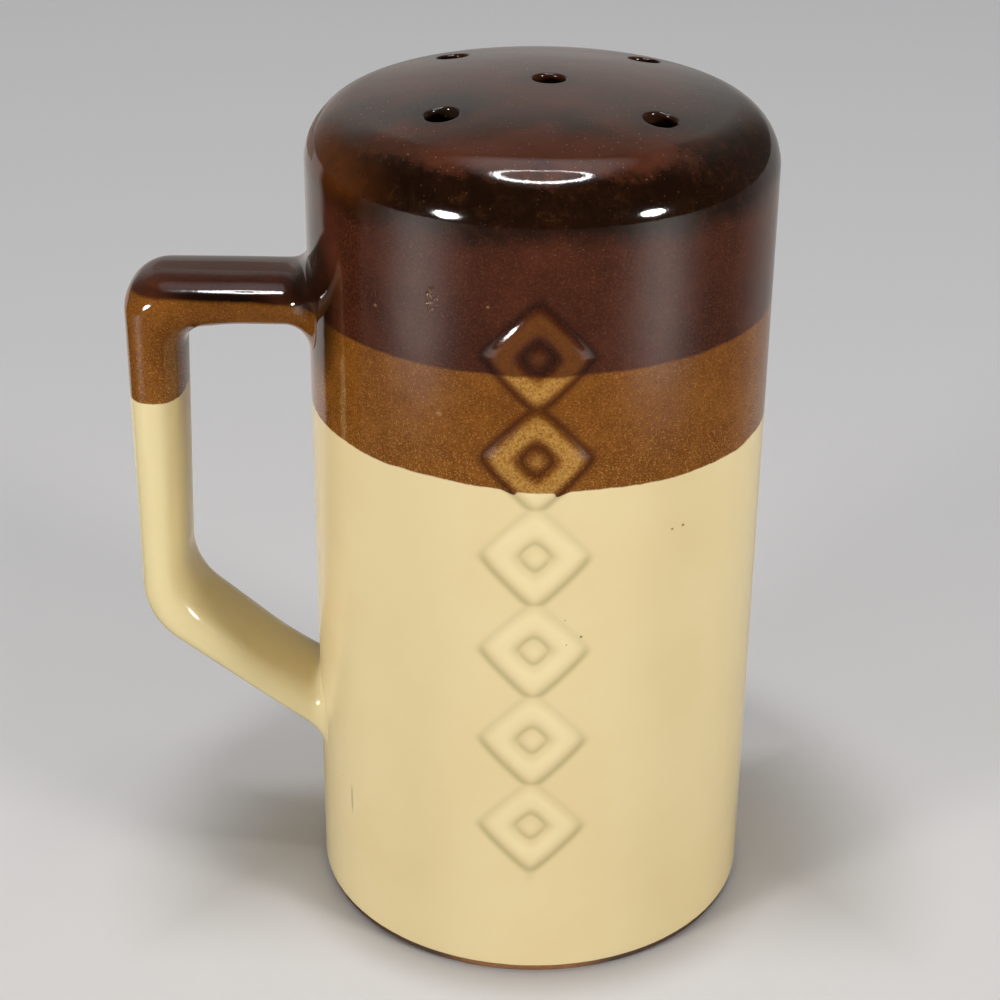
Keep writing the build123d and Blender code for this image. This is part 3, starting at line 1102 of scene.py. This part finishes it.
@dataclass
class Studio:
    """Floor, world, lamps and camera."""

    lens: float = 79.54
    sensor: float = 36.0
    camera_place: Place = (0.0, -371.19, 267.13)
    pan: float = -0.01829
    pitch: float = 0.47028
    roll: float = -0.00909
    floor_half: float = 4000
    floor_colour: Colour = srgb(216, 212, 208)
    seen_colour: Colour = srgb(184, 180, 176)
    seen_glow: Colour = (0.262, 0.266, 0.278, 1.0)
    shade_start: float = 44
    shade_end: float = 90
    rear_glow: float = 0.62
    far_glow: float = 0.12
    far_reach: float = 600
    mirror_tint: Colour = (1.0, 0.95, 0.90, 1.0)
    mirror_base: float = 0.11
    mirror_rear: float = 0.26
    patch_turn: float = 57
    patch_width: float = 15
    patch_glow: float = 1.55
    left_limb: float = 1.9
    front_dark: Colour = srgb(40, 37, 34)
    back_light: Colour = srgb(178, 175, 172)
    back_high: Colour = srgb(100, 96, 93)
    side_dim: Colour = srgb(80, 76, 74)
    back_dim: Colour = srgb(124, 124, 126)
    ring_place: Place = (7.7, -46.9, 1400)
    ring_outer: float = 292
    ring_inner: float = 243
    ring_lean: float = 34
    ring_strength: float = 34.0
    ring_spill: float = 17.3
    halo_place: Place = (7.7, 320, 1401)
    halo_reach: Place = (540, 1000, 1000)
    halo_tint: Colour = (0.82, 0.93, 1.0, 1.0)
    halo_strength: float = 1.1
    # Cards that only reflections see: the arm card paints a grey reflection on the arm's top, and the grip
    # card, in the handle's gap, paints a dark reflection on the wall where it would mirror the cream grip.
    arm_card: tuple[Place, Place] = ((-86, 45, 137), (-48, 45, 149))
    arm_card_colour: Colour = srgb(172, 160, 154)
    grip_card: tuple[Place, Place] = ((-63, -9.8, 56), (-63, 5.5, 113))
    grip_card_colour: Colour = srgb(34, 26, 18)
    lamp_size: Pair = (170, 130)
    lamp_distance: float = 750
    lamp_aim: Pair = (-36.5, 149)
    lamp_power: float = 4.25

    def camera(self) -> None:
        """Stands the camera where the photograph was taken from.

        In radians, pan turns the view about +Z from +Y, pitch tips it down and roll turns it about itself.
        """
        ahead = np.array([sin(self.pan) * cos(self.pitch), cos(self.pan) * cos(self.pitch), -sin(self.pitch)])
        level = np.array([cos(self.pan), -sin(self.pan), 0.0])
        down = np.cross(ahead, level)
        data = bpy.data.cameras.new("camera")
        data.lens, data.sensor_width = self.lens, self.sensor
        data.clip_start, data.clip_end = 0.01, 50.0
        view = linked("camera", data)
        right = cos(self.roll) * level + sin(self.roll) * down
        stand(view, self.camera_place, right, sin(self.roll) * level - cos(self.roll) * down, -ahead)
        bpy.context.scene.camera = view

    def floor(self) -> None:
        """Lays the floor, a large pale square.

        The camera sees it with a glow of its own, painted light, which ends close to the foot and so paints a
        shadow round it. What the glaze mirrors of it is painted reflection with its own brightness: dim in
        front, brighter in two patches below the lamps and pale behind, with a dark gap on the handle's side.
        From below it is clear, so that the base shows.
        """
        half = self.floor_half
        piece = sheet("floor", [(-half, -half, 0), (half, -half, 0), (half, half, 0), (-half, half, 0)])
        wires = paint(piece, "pale_floor")
        x, y, _ = wires.xyz
        seen = wires.node("LightPath").outputs
        looked = seen["Is Camera Ray"]
        # Painted shadow: the glow that the camera sees fades out towards the foot, soonest in front.
        near = wires.fade(wires.reach, self.shade_start - 4, self.shade_start + 9)
        ahead = wires.times(wires.fade(y, 0, -self.shade_start), near)
        glow = wires.math("MAXIMUM", ahead, wires.fade(wires.reach, self.shade_start, self.shade_end))
        rear = wires.fade(wires.math("MULTIPLY_ADD", x, -0.15, y), 16, 32)
        glow = wires.math("MAXIMUM", glow, wires.times(rear, self.rear_glow))
        glow = wires.math("MULTIPLY_ADD", wires.fade(y, 0, self.far_reach), self.far_glow, glow)
        shown = wires.shader(
            "BsdfPrincipled",
            Base_Color=wires.mix(looked, self.floor_colour, self.seen_colour),
            Roughness=0.9,
            Emission_Color=self.seen_glow,
            Emission_Strength=wires.times(glow, looked),
        )
        # Painted reflection: what the glaze mirrors of the floor is an emission of its own.
        turn = wires.math("DEGREES", wires.math("ABSOLUTE", wires.math("ARCTAN2", x, wires.times(y, -1.0))))
        off = wires.math("DIVIDE", wires.math("SUBTRACT", turn, self.patch_turn), self.patch_width)
        lobe = wires.math("EXPONENT", wires.times(off, off, -1.0))
        patch = wires.times(lobe, wires.fade(wires.reach, 240, 360))
        right = wires.fade(turn, 95, 135)
        limb = wires.spread(wires.fade(turn, 172, 155), 1.0, self.left_limb)
        left = wires.times(wires.fade(turn, 121, 128), limb)
        handle_side = wires.math("LESS_THAN", x, 0.0)
        behind = wires.math("MULTIPLY_ADD", handle_side, wires.math("SUBTRACT", left, right), right)
        gap = wires.times(handle_side, wires.band(turn, 88, 96, 123, 128), wires.fade(wires.reach, 60, 120))
        base = wires.spread(gap, self.mirror_base, 0.0)
        bright = wires.math("MULTIPLY_ADD", behind, self.mirror_rear, base)
        bright = wires.math("MULTIPLY_ADD", patch, self.patch_glow, bright)
        mirrored = wires.shader("Emission", Color=self.mirror_tint, Strength=bright)
        wires.finish(wires.one_sided(wires.either(seen["Is Glossy Ray"], shown, mirrored)))

    def world(self) -> None:
        """Lights the room: dim in front of the shaker, and pale behind it in what the glaze mirrors."""
        world = bpy.data.worlds.new("room")
        world.use_nodes = True
        wires = Wiring(world.node_tree)
        x, y, z = wires.parts(wires.node("TexCoord").outputs["Generated"])
        mirrored = wires.mix(wires.fade(z, 0.46, 0.66), self.back_light, self.back_high)
        mirrored = wires.mix(wires.fade(x, -0.30, -0.80), mirrored, self.side_dim)
        mirrored = wires.mix(wires.fade(x, 0.06, 0.55), mirrored, self.side_dim)
        back = wires.mix(wires.node("LightPath").outputs["Is Glossy Ray"], self.back_dim, mirrored)
        colour = wires.mix(wires.fade(y, -0.15, 0.5), self.front_dark, back)
        wires.node("OutputWorld", {"Surface": wires.shader("Background", Color=colour, Strength=1.0)})
        bpy.context.scene.world = world

    def ring_lamp(self) -> None:
        """Hangs a flat ring of light over the shaker, wider in front, below a faint halo that fades outwards.

        A point of either is its place plus its reach times the cosine and sine of an angle; the inner edge of
        the ring is set back from its outer edge.
        """
        angle = np.linspace(0, 2 * pi, 97)[:-1]
        way = np.stack([np.cos(angle), np.sin(angle), 0 * angle], axis=1)
        place, halo = np.array(self.ring_place), np.array(self.halo_place)
        back = np.array([0.0, self.ring_lean, 0.0])
        edges = {
            "ring_lamp": (place + back + self.ring_inner * way, place + self.ring_outer * way),
            "ring_halo": (halo + 0 * way, halo + np.array(self.halo_reach) * way),
        }
        for name, rows in edges.items():
            skin = Skin()
            skin.add(np.stack(rows))
            ring = skin.make(name)
            wires = paint(ring, name)
            if name == "ring_halo":
                fall = wires.spot(self.halo_place, self.halo_reach)
                light = {"Color": self.halo_tint, "Strength": wires.times(fall, self.halo_strength)}
            else:
                mirrored = wires.node("LightPath").outputs["Is Glossy Ray"]
                light = {"Strength": wires.spread(mirrored, self.ring_spill, self.ring_strength)}
            wires.finish(wires.shader("Emission", **light))
            ring.visible_camera = False
            ring.visible_diffuse = name == "ring_lamp"

    def card(self, name: str, ends: tuple[Place, Place], colour: Colour) -> None:
        """Stands an upright card that only reflections see, and only from its face.

        Args:
            name: Name of the card.
            ends: Its lower left and its upper right corner, seen from its face.
            colour: Colour of its face.
        """
        low, high = ends
        card = sheet(name, [low, (*high[:2], low[2]), high, (*low[:2], high[2])])
        wires = paint(card, name)
        wires.finish(wires.one_sided(wires.shader("BsdfDiffuse", Color=colour)))
        card.visible_camera = card.visible_diffuse = card.visible_shadow = False

    def lamp(self, name: str, azimuth: float, elevation: float, x: float, glint: bool) -> None:
        """Stands a soft lamp in front, turned to the shaker's shoulder.

        Args:
            name: Name of the lamp.
            azimuth: Angle from the front towards +X.
            elevation: Angle above level, seen from the target.
            x: Where it aims across the shoulder.
            glint: Whether the glaze only mirrors it; the other lamps only light.
        """
        turn, rise = radians(azimuth), radians(elevation)
        way = np.array([sin(turn) * cos(rise), -cos(turn) * cos(rise), sin(rise)])
        side = np.array([cos(turn), sin(turn), 0.0])
        data = bpy.data.lights.new(name, "AREA")
        data.shape, data.energy = "ELLIPSE", self.lamp_power
        data.size, data.size_y = (size * MM for size in self.lamp_size)
        lamp = linked(name, data)
        stand(lamp, np.array([x, *self.lamp_aim]) + self.lamp_distance * way, side, np.cross(way, side), way)
        lamp.visible_glossy, lamp.visible_diffuse = glint, not glint

    def build(self) -> None:
        """Sets up the whole studio."""
        bpy.context.scene.view_settings.view_transform = "Standard"
        self.camera()
        self.floor()
        self.world()
        self.ring_lamp()
        self.card("arm_card", self.arm_card, self.arm_card_colour)
        self.card("grip_card", self.grip_card, self.grip_card_colour)
        self.lamp("left_lamp", -51.5, 8, -17, glint=False)
        self.lamp("right_lamp", 57, 11, 19, glint=False)
        self.lamp("left_glint", -44.5, 8, -17, glint=True)
        self.lamp("right_glint", 53.5, 11, 19, glint=True)


def main() -> None:
    """Builds the pieces in order, dresses them and sets up the studio."""
    logging.basicConfig(level=logging.INFO, format="%(name)s: %(message)s")
    for part in (ShakerBody(), StrapHandle()):
        piece = part.build()
        part.dress(piece)
        LOG.info("%s has %d faces", piece.name, len(piece.data.polygons))
    Stopper().dress()
    LOG.info("stopper is dressed")
    Studio().build()


if __name__ == "__main__":
    main()
